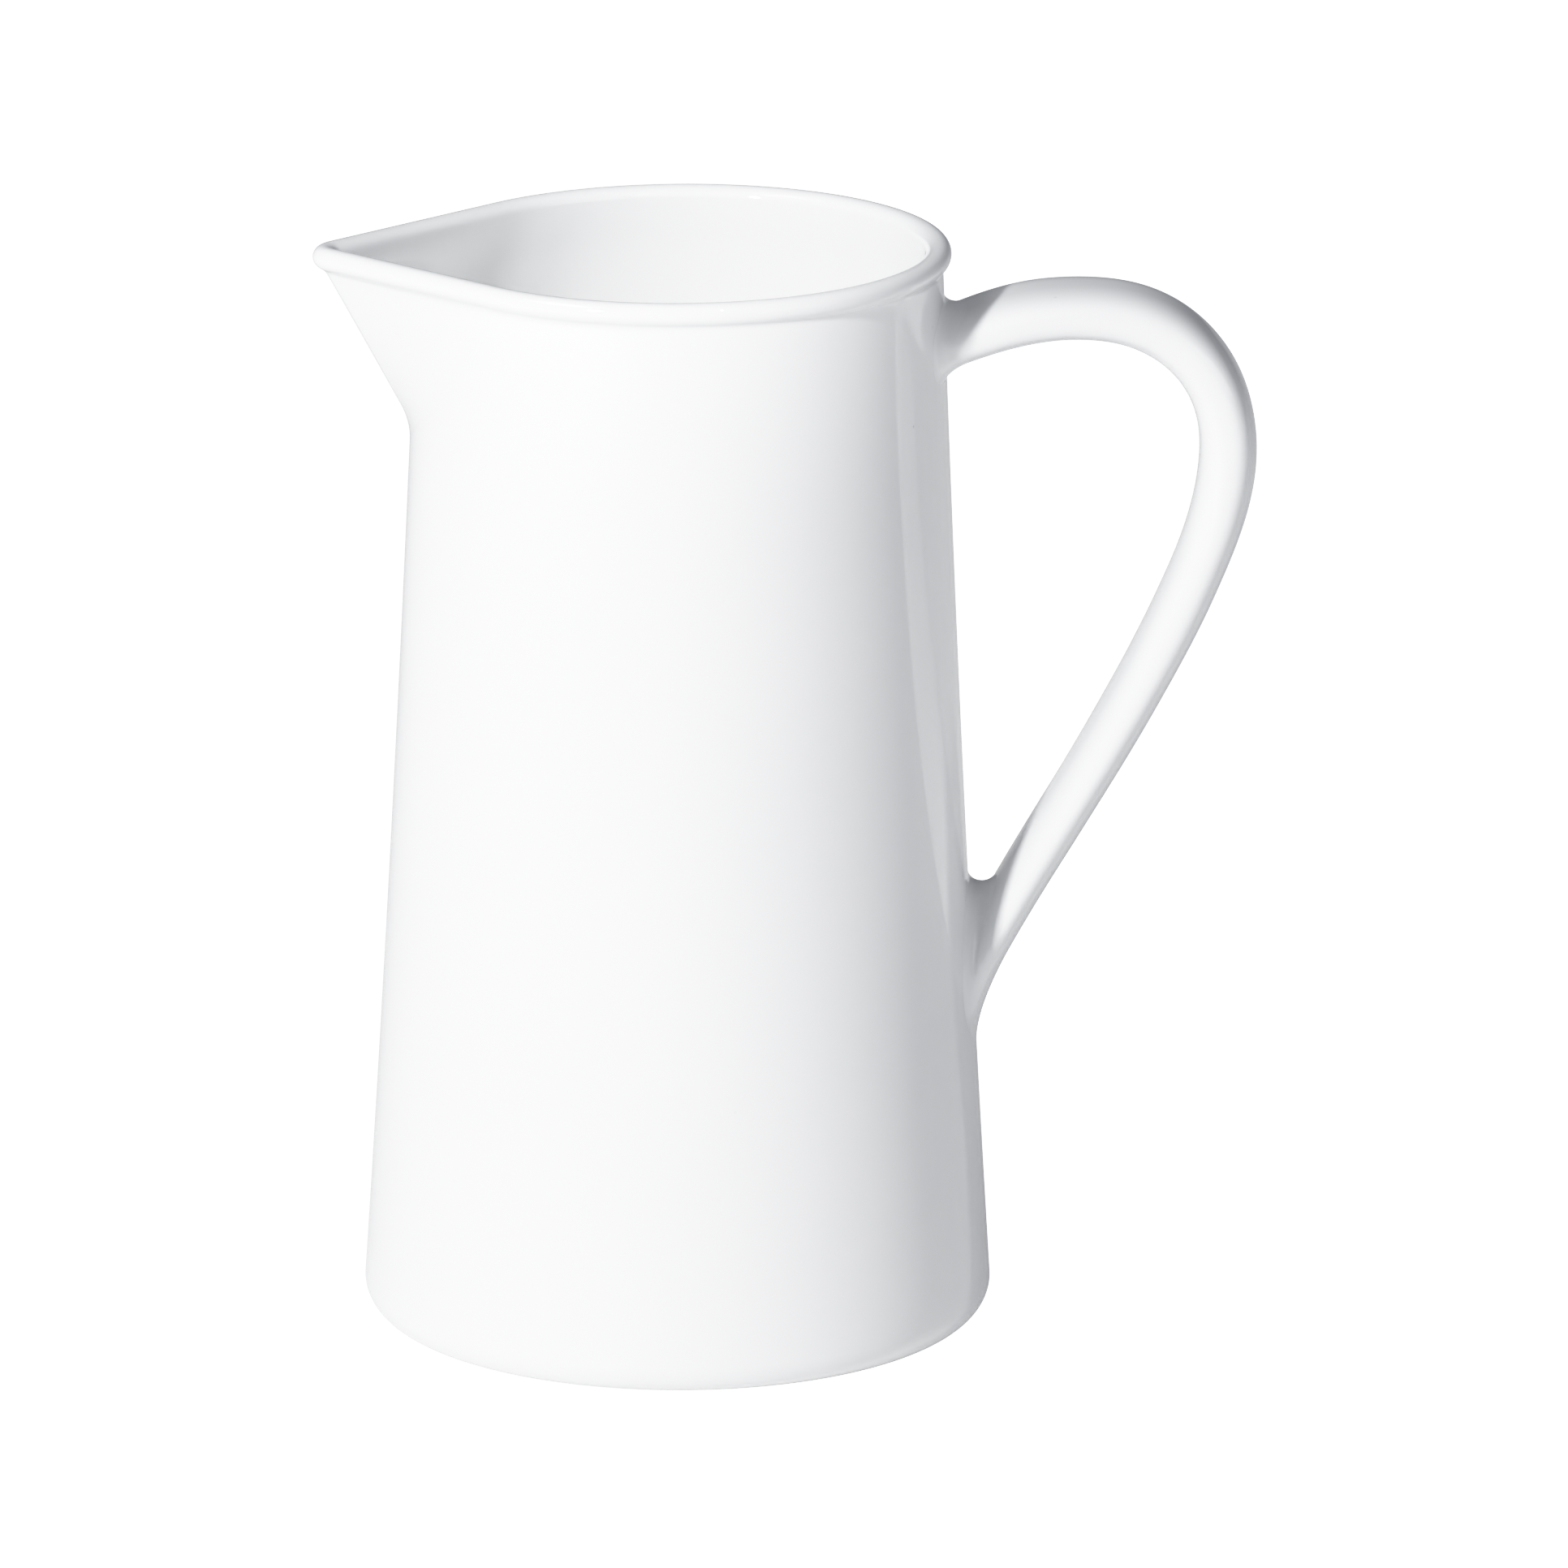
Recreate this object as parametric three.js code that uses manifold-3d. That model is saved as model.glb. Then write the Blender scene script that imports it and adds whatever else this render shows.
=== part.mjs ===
// Ceramic water pitcher: a tapered round body with a folded V spout, a rolled lip,
// a strap handle luted on with two slip fillets, and an unglazed foot ring.
// Millimetres, +Z up. The origin is on the body's axis, on the plane it rests on.
// The spout points along -X and the handle along +X.

import * as THREE from 'three';
import { mergeVertices } from 'three/addons/utils/BufferGeometryUtils.js';
import Module from 'manifold-3d';

const wasm = await Module();
wasm.setup();

// ---------- driving dimensions ----------

const GAP = 0.3;                // clearance between pieces that touch on the real object

// body
const BASE_RADIUS = 62.5;       // widest, just above the heel
const NECK_RADIUS = 51.6;       // outside of the wall under the lip
const WALL_BOW = 0.68;          // how far the wall bows in, half way up
const HEEL_RADIUS = 6.7;        // round between the wall and the underside
const LIP_HEIGHT = 215.7;       // centre of the rolled lip
const LIP_SLOPE = 0.009;        // the mouth's plane drops this much per mm towards the spout
const LEAN_POWER = 8;           // how quickly that lean fades out down the wall
const WALL_AT_TOP = 3.4;
const WALL_AT_BASE = 4.4;
const FLOOR_TOP = 6.8;          // inside floor
const FLOOR_FILLET = 9;         // inside, floor to wall
const RECESS_HEIGHT = 1.2;      // underside, inside the foot ring

// foot ring
const FOOT_INNER = 50.8;
const FOOT_OUTER = 56.9;
const FOOT_HEIGHT = 1.6;
const FOOT_EDGE = 0.6;          // rounding of the edges that meet the table

// spout
const SPOUT_REACH = 71.2;       // outside of the spout at lip height, from the axis
const KEEL_FOOT = 182;          // height where the keel line meets the wall
const KEEL_BLEND = 2.2;         // softness of that corner
const NOSE_AT_LIP = 3.5;        // plan radius of the keel, outside
const NOSE_AT_FOOT = 9;
const INNER_NOSE_AT_LIP = 1.8;  // plan radius of the pouring channel
const INNER_NOSE_AT_FOOT = 5;

// rolled lip
const LIP_RADIUS = 2.3;         // outer half of its section
const LIP_CENTRE = 51;          // plan radius of its centre round the mouth
const LIP_NOSE = 4.9;           // plan radius of its centre round the spout's tip
const LIP_SEAT = 213.8;         // underside of the lip, where it sits on the wall

// handle: its centre line in the XZ plane, from inside the upper wall to inside the lower wall
const HANDLE_LINE = [
  [47, 196.6], [58.9, 201.4], [69, 204.2], [80, 205], [90, 203.4], [99.2, 198.1],
  [105.2, 190.1], [107.9, 180], [107.4, 169.5], [102.2, 152.3], [91, 128.6], [80, 108.8],
  [68.6, 89.4], [57.3, 69.1], [50.5, 56.9],
];
// sizes of its section, each list spaced evenly from the upper root to the lower one
const HANDLE_THICK = [9, 10, 11, 11.3, 10.4, 10, 9.7, 9.3, 9];
const HANDLE_WIDE = [29, 23, 23.5, 24.5, 27];
const HANDLE_SQUARENESS = [2.8, 2.9, 2.3, 2, 2];       // 2 is an oval; more is squarer

// slip fillets: length along the handle and along the wall, at its top, side and underside
const UPPER_FILLET = { top: [4.8, 4.2], side: [3.2, 3], under: [7, 2.4] };
const LOWER_FILLET = { top: [11, 10.2], side: [4, 3.5], under: [18, 8] };
const UPPER_SEARCH = 0.12;      // places along the handle that are surely outside the wall
const LOWER_SEARCH = 0.8;

// facets
const AROUND = 60;              // divisions round the body
const NOSE_ANGLES = [0.7, 1.5, 2.5, 4];   // extra divisions each side of the spout's tip
const HEEL_STEPS = 5;
const HEEL_LOW = -68;           // degrees: the heel's arc stops here, at the foot ring's groove
const FLOOR_STEPS = 4;
const LIP_OUTER_STEPS = 6;
const LIP_INNER_STEPS = 4;
const SHELL_TOP = LIP_SEAT - GAP;
const WALL_LEVELS = [40, 75, 110, 145, 176];
const SPOUT_LEVELS = [178, 180.5, 183, 186, 190, 195, 201, 207, SHELL_TOP];
const HANDLE_STEPS = 44;
const HANDLE_SIDES = 20;
const FILLET_SIDES = 28;
const FILLET_STEPS = 6;

// finish
const WHITE = 0xf4f5f5;
const BISQUE = 0xe9e4da;
const GLOSSY = 0.12;            // roughness of the glaze
const MATT = 0.85;              // roughness of the bare clay

// ---------- shape of the vessel ----------

const lerp = THREE.MathUtils.lerp;
const radians = THREE.MathUtils.degToRad;

function wallRadius(z) {
  const u = (z - HEEL_RADIUS) / (LIP_HEIGHT - HEEL_RADIUS);
  return lerp(BASE_RADIUS, NECK_RADIUS, u) - 4 * WALL_BOW * u * (1 - u);
}

function wallThickness(z) {
  return lerp(WALL_AT_BASE, WALL_AT_TOP, z / LIP_HEIGHT);
}

// How far the keel stands out of the round wall at height z. It is nothing below the keel's
// foot, then a straight line, with a short parabola between them.
function keelStandout(z) {
  const u = (z - KEEL_FOOT) / (LIP_HEIGHT - KEEL_FOOT);
  const proud = lerp(wallRadius(KEEL_FOOT), SPOUT_REACH, u) - wallRadius(z);
  if (proud < -KEEL_BLEND) return 0;
  if (proud > KEEL_BLEND) return proud;
  return (proud + KEEL_BLEND) ** 2 / (4 * KEEL_BLEND);
}

function upSpout(z) {
  return THREE.MathUtils.clamp((z - KEEL_FOOT) / (LIP_HEIGHT - KEEL_FOOT), 0, 1);
}

// The plan section is a belt round two circles: the body, and a small nose at the spout's tip.
// The belt leaves the body at this angle each side of the spout's centre line.
function beltAngle(z) {
  const nose = lerp(NOSE_AT_FOOT, NOSE_AT_LIP, upSpout(z));
  const round = wallRadius(z) - nose;
  return Math.acos(round / (round + keelStandout(z)));
}

function beltRadius(angle, radius, nose, belt) {
  const noseCentre = (radius - nose) / Math.cos(belt);
  const noseEnd = Math.atan2(nose * Math.sin(belt), noseCentre + nose * Math.cos(belt));
  const off = Math.abs(angle);
  if (off >= belt) return radius;
  if (off >= noseEnd) return radius / Math.cos(belt - off);
  const across = noseCentre * Math.sin(off);
  return noseCentre * Math.cos(off) + Math.sqrt(nose * nose - across * across);
}

function outerRadius(angle, z) {
  const nose = lerp(NOSE_AT_FOOT, NOSE_AT_LIP, upSpout(z));
  return beltRadius(angle, wallRadius(z), nose, beltAngle(z));
}

function innerRadius(angle, z) {
  const nose = lerp(INNER_NOSE_AT_FOOT, INNER_NOSE_AT_LIP, upSpout(z));
  return beltRadius(angle, wallRadius(z) - wallThickness(z), nose, beltAngle(z));
}

// Angles round the vessel, measured from the spout's centre line, finer at its tip.
function planAngles() {
  const angles = [];
  for (let i = -AROUND / 2; i < AROUND / 2; i++) angles.push((2 * Math.PI * i) / AROUND);
  for (const a of NOSE_ANGLES) angles.push(radians(a), -radians(a));
  return angles.sort((a, b) => a - b);
}

const ANGLES = planAngles();

// The mouth leans a little towards the spout, and the lean fades out down the wall.
function planPoint(angle, r, z) {
  const x = -r * Math.cos(angle);
  return new THREE.Vector3(x, -r * Math.sin(angle), z + LIP_SLOPE * x * (z / LIP_HEIGHT) ** LEAN_POWER);
}

// ---------- surfaces ----------

// Joins rings of equal length. With closed, the last ring meets the first; otherwise
// each end is closed by a fan on the ring's middle.
function loft(rings, closed = false) {
  const n = rings[0].length;
  const points = rings.flat();
  const index = [];
  const spans = closed ? rings.length : rings.length - 1;
  for (let i = 0; i < spans; i++) {
    const a = i * n;
    const b = ((i + 1) % rings.length) * n;
    for (let j = 0; j < n; j++) {
      const k = (j + 1) % n;
      index.push(a + j, a + k, b + k, a + j, b + k, b + j);
    }
  }
  if (!closed) {
    for (const [ring, flip] of [[0, true], [rings.length - 1, false]]) {
      const middle = points.length;
      const sum = rings[ring].reduce((s, p) => s.add(p), new THREE.Vector3());
      points.push(sum.divideScalar(n));
      for (let j = 0; j < n; j++) {
        const a = ring * n + j;
        const b = ring * n + ((j + 1) % n);
        index.push(...(flip ? [middle, b, a] : [middle, a, b]));
      }
    }
  }
  const geometry = new THREE.BufferGeometry().setFromPoints(points);
  geometry.setIndex(index);
  return geometry;
}

function manifold(positions, triangles) {
  return new wasm.Manifold(new wasm.Mesh({
    numProp: 3, vertProperties: positions, triVerts: triangles,
  }));
}

// A solid from a closed geometry, with its faces turned out whichever way it was lofted.
function solid(geometry) {
  geometry.deleteAttribute('normal');
  geometry.deleteAttribute('uv');
  const merged = mergeVertices(geometry, 1e-4);
  const positions = merged.attributes.position.array;
  const triangles = new Uint32Array(merged.index.array);
  const shape = manifold(positions, triangles);
  return shape.volume() > 0 ? shape : manifold(positions, triangles.reverse());
}

function geometryOf(shape) {
  const mesh = shape.getMesh();
  const geometry = new THREE.BufferGeometry();
  geometry.setAttribute('position', new THREE.BufferAttribute(mesh.vertProperties, 3));
  geometry.setIndex(new THREE.BufferAttribute(mesh.triVerts, 1));
  geometry.computeVertexNormals();
  return geometry;
}

function lathe(profile) {
  const geometry = new THREE.LatheGeometry(profile, AROUND);
  geometry.rotateX(Math.PI / 2);
  return geometry;
}

function arc(x, z, rx, rz, from, to, steps) {
  const points = [];
  for (let i = 0; i <= steps; i++) {
    const a = radians(lerp(from, to, i / steps));
    points.push([x + rx * Math.cos(a), z + rz * Math.sin(a)]);
  }
  return points;
}

// ---------- body and spout ----------

// One closed shell for the body and the spout, with no lip yet.
function vesselShell() {
  const ring = (radiusAt, z) => ANGLES.map((a) => planPoint(a, radiusAt(a, z), z));
  const round = ([r, z]) => ANGLES.map((a) => planPoint(a, r, z));
  const grooveTop = FOOT_HEIGHT + GAP;
  const grooveOuter = FOOT_OUTER + GAP;
  const grooveInner = FOOT_INNER - GAP;
  const heelCentre = BASE_RADIUS - HEEL_RADIUS;
  const heel = arc(heelCentre, HEEL_RADIUS, HEEL_RADIUS, HEEL_RADIUS, HEEL_LOW, 0, HEEL_STEPS);
  const innerAtFillet = wallRadius(FLOOR_TOP + FLOOR_FILLET) - wallThickness(FLOOR_TOP);
  const fillet = arc(innerAtFillet - FLOOR_FILLET, FLOOR_TOP + FLOOR_FILLET,
    FLOOR_FILLET, FLOOR_FILLET, 0, -90, FLOOR_STEPS);
  const levels = [...WALL_LEVELS, ...SPOUT_LEVELS];
  const rings = [
    round([grooveInner / 2, RECESS_HEIGHT]),
    round([grooveInner, RECESS_HEIGHT]),
    round([grooveInner, grooveTop]),
    round([grooveOuter, grooveTop]),
    round([grooveOuter, heel[0][1]]),
    ...heel.map(round),
    ...levels.map((z) => ring(outerRadius, z)),
    ...levels.slice().reverse().map((z) => ring(innerRadius, z)),
    ...fillet.map(round),
  ];
  return solid(loft(rings));
}

// A wedge that holds the spout and nothing of the round body. Its sides have points close to
// both faces of the wall, so that they cut the wall along a smooth line.
function spoutWedge(extra) {
  const sideRadii = [44, 49, 54, 95];
  const frontSteps = 8;
  const overTop = 5;
  const front = sideRadii.at(-1);
  const rings = SPOUT_LEVELS.map((z) => {
    const level = z === SHELL_TOP ? z + overTop : z;
    const half = beltAngle(z) + extra / wallRadius(z);
    const ring = sideRadii.map((r) => planPoint(-half, r, level));
    for (let i = 1; i < frontSteps; i++) {
      ring.push(planPoint(lerp(-half, half, i / frontSteps), front, level));
    }
    return [...ring, ...sideRadii.slice().reverse().map((r) => planPoint(half, r, level))];
  });
  return solid(loft(rings));
}

// ---------- rolled lip ----------

function lipGeometry() {
  const seatAngle = THREE.MathUtils.radToDeg(Math.asin((LIP_SEAT - LIP_HEIGHT) / LIP_RADIUS));
  const inside = NECK_RADIUS - WALL_AT_TOP - LIP_CENTRE;
  const section = [
    ...arc(0, LIP_HEIGHT, LIP_RADIUS, LIP_RADIUS, seatAngle, 90, LIP_OUTER_STEPS),
    ...arc(0, LIP_HEIGHT, -inside, LIP_RADIUS, 90, 180, LIP_INNER_STEPS).slice(1),
    [inside, LIP_SEAT],
  ];
  const belt = beltAngle(LIP_HEIGHT);
  const rings = section.map(([out, z]) => ANGLES.map(
    (a) => planPoint(a, beltRadius(a, LIP_CENTRE + out, LIP_NOSE + out, belt), z)));
  return loft(rings, true);
}

// ---------- foot ring ----------

function footGeometry() {
  const profile = [
    [FOOT_INNER + FOOT_EDGE, 0],
    [FOOT_OUTER - FOOT_EDGE, 0],
    [FOOT_OUTER, FOOT_EDGE],
    [FOOT_OUTER, FOOT_HEIGHT],
    [FOOT_INNER, FOOT_HEIGHT],
    [FOOT_INNER, FOOT_EDGE],
    [FOOT_INNER + FOOT_EDGE, 0],
  ];
  return lathe(profile.map(([r, z]) => new THREE.Vector2(r, z)));
}

// ---------- handle ----------

const handleLine = new THREE.CatmullRomCurve3(
  HANDLE_LINE.map(([x, z]) => new THREE.Vector3(x, 0, z)), false, 'centripetal');

// Smoothly follows a list of sizes spaced evenly along the handle.
function along(sizes, s) {
  const place = THREE.MathUtils.clamp(s, 0, 1) * (sizes.length - 1);
  const i = Math.min(Math.floor(place), sizes.length - 2);
  const t = THREE.MathUtils.smoothstep(place - i, 0, 1);
  return lerp(sizes[i], sizes[i + 1], t);
}

// A point on the handle's skin: s runs from the upper root to the lower one, and
// side is the angle round the section, 0 on the side away from the body.
function handlePoint(s, side, grow = 0) {
  const centre = handleLine.getPointAt(THREE.MathUtils.clamp(s, 0, 1));
  const tangent = handleLine.getTangentAt(THREE.MathUtils.clamp(s, 0, 1));
  const away = new THREE.Vector3(-tangent.z, 0, tangent.x);
  const power = 2 / along(HANDLE_SQUARENESS, s);
  const swell = (v) => Math.sign(v) * Math.abs(v) ** power;
  const thick = along(HANDLE_THICK, s) / 2 + grow;
  const wide = along(HANDLE_WIDE, s) / 2 + grow;
  return centre
    .addScaledVector(away, thick * swell(Math.cos(side)))
    .add(new THREE.Vector3(0, wide * swell(Math.sin(side)), 0));
}

function handleGeometry() {
  const rings = [];
  for (let i = 0; i <= HANDLE_STEPS; i++) {
    const ring = [];
    for (let j = 0; j < HANDLE_SIDES; j++) {
      ring.push(handlePoint(i / HANDLE_STEPS, (2 * Math.PI * j) / HANDLE_SIDES));
    }
    rings.push(ring);
  }
  return loft(rings);
}

// The round wall as a solid cone, grown by the gap, to cut the handle's ends.
function wallCutter() {
  const profile = [new THREE.Vector2(0, 0)];
  for (const z of [0, ...WALL_LEVELS, ...SPOUT_LEVELS]) {
    profile.push(new THREE.Vector2(wallRadius(z) + GAP, z));
  }
  profile.push(new THREE.Vector2(0, SHELL_TOP));
  return solid(lathe(profile));
}

// ---------- slip fillets ----------

// The place along the handle where one line of its skin meets the wall, halved down to from
// a place outside the wall and a place inside it.
function meetsWall(side, outside, inside) {
  const halvings = 30;
  let out = outside;
  let into = inside;
  for (let i = 0; i < halvings; i++) {
    const middle = (out + into) / 2;
    const p = handlePoint(middle, side, GAP);
    if (Math.hypot(p.x, p.y) > wallRadius(p.z) + GAP) out = middle;
    else into = middle;
  }
  return (out + into) / 2;
}

// Fillet size round the section: top is the upper face of the handle where it joins.
function filletSize(fillet, upness) {
  const side = fillet.side;
  const end = upness > 0 ? fillet.top : fillet.under;
  return [0, 1].map((i) => lerp(side[i], end[i], upness * upness));
}

function onWall(p) {
  const r = Math.hypot(p.x, p.y);
  const wall = wallRadius(p.z) + GAP;
  return new THREE.Vector3((p.x * wall) / r, (p.y * wall) / r, p.z);
}

// The curved face of the fillet in one section. It leaves the handle along heading and meets
// the wall along leaving, with a pull that makes it close to a round arc.
function filletCurve(start, heading, onHandle, end, leaving, onBody) {
  const leastTurn = 0.1;
  const mostTurn = 3;
  const turn = Math.max(heading.angleTo(leaving), leastTurn);
  const pull = ((4 / 3) * Math.tan(turn / 4)) / Math.tan(Math.min(turn, mostTurn) / 2);
  return new THREE.CubicBezierCurve3(
    start,
    start.clone().addScaledVector(heading, pull * onHandle),
    end.clone().addScaledVector(leaving, -pull * onBody),
    end,
  ).getPoints(FILLET_STEPS);
}

// Each ring of the fillet is a curved triangle: down the handle's skin to the wall, out along
// the wall, square to the line where the two meet, and back along the fillet's curve.
function filletGeometry(fillet, outside, inside, topSide) {
  const nearEnd = 0.8;
  const length = handleLine.getLength();
  const towards = Math.sign(inside - outside);
  const sides = Array.from({ length: FILLET_SIDES }, (_, j) => (2 * Math.PI * j) / FILLET_SIDES);
  const meets = sides.map((side) => meetsWall(side, outside, inside));
  const corners = sides.map((side, j) => handlePoint(meets[j], side, GAP));
  const rings = sides.map((side, j) => {
    const [onHandle, onBody] = filletSize(fillet, Math.cos(side) * topSide);
    const corner = corners[j];
    const start = handlePoint(meets[j] - (towards * onHandle) / length, side, GAP);
    const heading = corner.clone().sub(start).normalize();
    const radial = new THREE.Vector3(corner.x, corner.y, 0).normalize();
    const meetLine = corners[(j + 1) % FILLET_SIDES].clone().sub(corners.at(j - 1));
    const outward = radial.clone().cross(meetLine).normalize();
    const offAxis = handlePoint(meets[j], side, GAP + 1).sub(corner);
    if (outward.dot(offAxis) < 0) outward.negate();
    const end = onWall(corner.clone().addScaledVector(outward, onBody));
    const before = onWall(corner.clone().addScaledVector(outward, onBody * nearEnd));
    const leaving = end.clone().sub(before).normalize();
    return [...filletCurve(start, heading, onHandle, end, leaving, onBody), corner];
  });
  return loft(rings, true);
}

// ---------- assembly ----------

function glaze(color, roughness) {
  return new THREE.MeshStandardMaterial({ color, roughness, metalness: 0 });
}

const pitcher = new THREE.Group();

function add(name, geometry, color, roughness) {
  const mesh = new THREE.Mesh(geometry, glaze(color, roughness));
  mesh.name = name;
  pitcher.add(mesh);
}

const shell = vesselShell();
const handle = solid(handleGeometry()).subtract(wallCutter());
const upperJoint = solid(filletGeometry(UPPER_FILLET, UPPER_SEARCH, 0, 1));
const lowerJoint = solid(filletGeometry(LOWER_FILLET, LOWER_SEARCH, 1, -1));

add('body', geometryOf(shell.subtract(spoutWedge(GAP))), WHITE, GLOSSY);
add('spout', geometryOf(shell.intersect(spoutWedge(0))), WHITE, GLOSSY);
add('rim_lip', geometryOf(solid(lipGeometry())), WHITE, GLOSSY);
add('foot_ring', geometryOf(solid(footGeometry())), BISQUE, MATT);
add('handle', geometryOf(handle), WHITE, GLOSSY);
add('upper_handle_joint', geometryOf(upperJoint), WHITE, GLOSSY);
add('lower_handle_joint', geometryOf(lowerJoint), WHITE, GLOSSY);

export default pitcher;
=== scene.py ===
import math

import bmesh
import bpy
import numpy as np
from mathutils import Matrix, Vector


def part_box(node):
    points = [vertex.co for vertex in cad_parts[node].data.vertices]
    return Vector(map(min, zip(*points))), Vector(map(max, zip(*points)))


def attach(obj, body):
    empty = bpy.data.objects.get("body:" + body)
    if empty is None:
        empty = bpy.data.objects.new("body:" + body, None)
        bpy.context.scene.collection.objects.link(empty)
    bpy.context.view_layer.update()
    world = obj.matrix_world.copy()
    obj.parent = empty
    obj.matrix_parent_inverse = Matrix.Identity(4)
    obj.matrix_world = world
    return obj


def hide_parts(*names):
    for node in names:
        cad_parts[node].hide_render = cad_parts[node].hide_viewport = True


# Ceramic water pitcher, glazed white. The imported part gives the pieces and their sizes, and
# this script makes each piece again as a fine closed mesh with its glaze or bare clay.
# Metres, +Z up. The spout points along -X and the handle along +X.

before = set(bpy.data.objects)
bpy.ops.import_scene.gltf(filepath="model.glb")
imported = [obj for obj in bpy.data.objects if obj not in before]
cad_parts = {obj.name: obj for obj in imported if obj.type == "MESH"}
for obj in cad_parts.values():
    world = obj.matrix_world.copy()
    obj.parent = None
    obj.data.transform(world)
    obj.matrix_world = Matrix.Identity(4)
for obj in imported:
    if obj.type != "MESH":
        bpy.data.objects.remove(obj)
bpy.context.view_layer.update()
MM = 0.001

# ---------- driving dimensions, as in the part ----------

BODY_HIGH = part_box("body")[1]
FOOT_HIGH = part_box("foot_ring")[1]

BASE_RADIUS = BODY_HIGH.y
NECK_RADIUS = 51.6 * MM
WALL_BOW = 0.68 * MM
HEEL_RADIUS = 6.7 * MM
LIP_HEIGHT = 215.7 * MM
LIP_SLOPE = 0.009
LEAN_POWER = 8                  # how quickly the mouth's lean fades out down the wall
WALL_AT_TOP = 3.4 * MM
WALL_AT_BASE = 4.4 * MM
FLOOR_TOP = 6.8 * MM
FLOOR_FILLET = 9 * MM
RECESS_HEIGHT = 1.2 * MM

FOOT_OUTER = FOOT_HIGH.y
FOOT_HEIGHT = FOOT_HIGH.z
FOOT_INNER = 50.8 * MM
FOOT_EDGE = 0.6 * MM
HEEL_LOW = -68                  # degrees: the heel's arc stops here, beside the foot ring
HEEL_EDGE = 0.45 * MM           # rounding of the glaze's edge there

SPOUT_REACH = 71.2 * MM
KEEL_FOOT = 182 * MM
KEEL_BLEND = 2.2 * MM
NOSE_AT_LIP = 3.5 * MM
NOSE_AT_FOOT = 9 * MM
INNER_NOSE_AT_LIP = 1.8 * MM
INNER_NOSE_AT_FOOT = 5 * MM

LIP_RADIUS = 2.3 * MM
LIP_CENTRE = 51 * MM
LIP_NOSE = 4.9 * MM
LIP_SEAT = 213.8 * MM
COVE_FOOT = 212.1 * MM          # the wall starts to curve out into the lip here
COVE_PULL = 0.36                # how far the cove's curve keeps to its ends' directions
THROAT = 205 * MM               # the inside of the lip has joined the inner wall here
THROAT_PULL = 0.34

# The handle's centre line in the XZ plane in mm, from inside the upper wall to inside the
# lower one
HANDLE_LINE = [
    (47, 196.6), (58.9, 201.4), (69, 204.2), (80, 205), (90, 203.4), (99.2, 198.1),
    (105.2, 190.1), (107.9, 180), (107.4, 169.5), (102.2, 152.3), (91, 128.6), (80, 108.8),
    (68.6, 89.4), (57.3, 69.1), (50.5, 56.9),
]
# sizes of its section in mm, each list spaced evenly from the upper root to the lower one
HANDLE_THICK = [9, 10, 11, 11.3, 10.4, 10, 9.7, 9.3, 9]
HANDLE_WIDE = [29, 23, 23.5, 24.5, 27]
HANDLE_SQUARENESS = [2.8, 2.9, 2.3, 2, 2]   # 2 is an oval, and more is nearer to a rectangle

# Slip fillets: length in mm along the handle and along the wall, at top, side and underside
UPPER_FILLET = {"top": (4.8, 4.2), "side": (3.2, 3), "under": (7, 2.4)}
LOWER_FILLET = {"top": (11, 10.2), "side": (4, 3.5), "under": (18, 8)}
UPPER_CLEAR = 0.12              # places along the handle that are clear of the wall, near each
LOWER_CLEAR = 0.8               # root: the search for where it meets the wall starts there

# Mesh fineness
WALL_STEP = 5 * MM
INNER_WALL_STEP = 6 * MM
KEEL_STEP = 0.5 * MM            # from the spout's foot to KEEL_STEPS_END
KEEL_STEPS_END = KEEL_FOOT + 6 * MM
NECK_STEP = 1.6 * MM            # above that
RING_NUDGE = 0.2 * MM           # from a ring to the next, to find the wall's direction
HEEL_STEPS = 16
HEEL_EDGE_STEPS = 10
FOOT_EDGE_STEPS = 6
COVE_STEPS = 8
THROAT_STEPS = 12
LIP_OUTER_STEPS = 26
LIP_INNER_STEPS = 18
FLOOR_FILLET_STEPS = 14
BODY_COLUMNS = 220
SPOUT_COLUMNS = 72
SPOUT_CROWDING = 2.2            # above 1, the spout's columns crowd together at its tip
SPLINE_SAMPLES = 160            # between one point of the handle's line and the next
HANDLE_ROWS = 170
HANDLE_SIDES = 64
FILLET_STEPS = 18
HALVINGS = 30                   # of the stretch of handle that is searched for the wall
NEAR_END = 0.97                 # share of a fillet's length, to find its end's direction
SINK = 0.02 * MM                # a fillet's feather edge dips this far under the wall
HAIR = 0.1 * MM
EMBED = 0.5 * MM                # hidden ends reach this far into the wall
WELD = 0.001 * MM


# ---------- small tools ----------

def lerp(a, b, t):
    return a + (b - a) * t


def arc(x, z, rx, rz, start, end, steps):
    """Points on an elliptic arc, in (radius, height), for angles in degrees."""
    turns = np.radians(np.linspace(start, end, steps + 1))
    return [(x + rx * math.cos(a), z + rz * math.sin(a)) for a in turns]


def unit(vectors):
    length = np.linalg.norm(vectors, axis=-1, keepdims=True)
    return vectors / np.maximum(length, 1e-15)


def bezier(a, b, c, d, t):
    return a * (1 - t) ** 3 + b * 3 * t * (1 - t) ** 2 + c * 3 * t * t * (1 - t) + d * t ** 3


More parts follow.
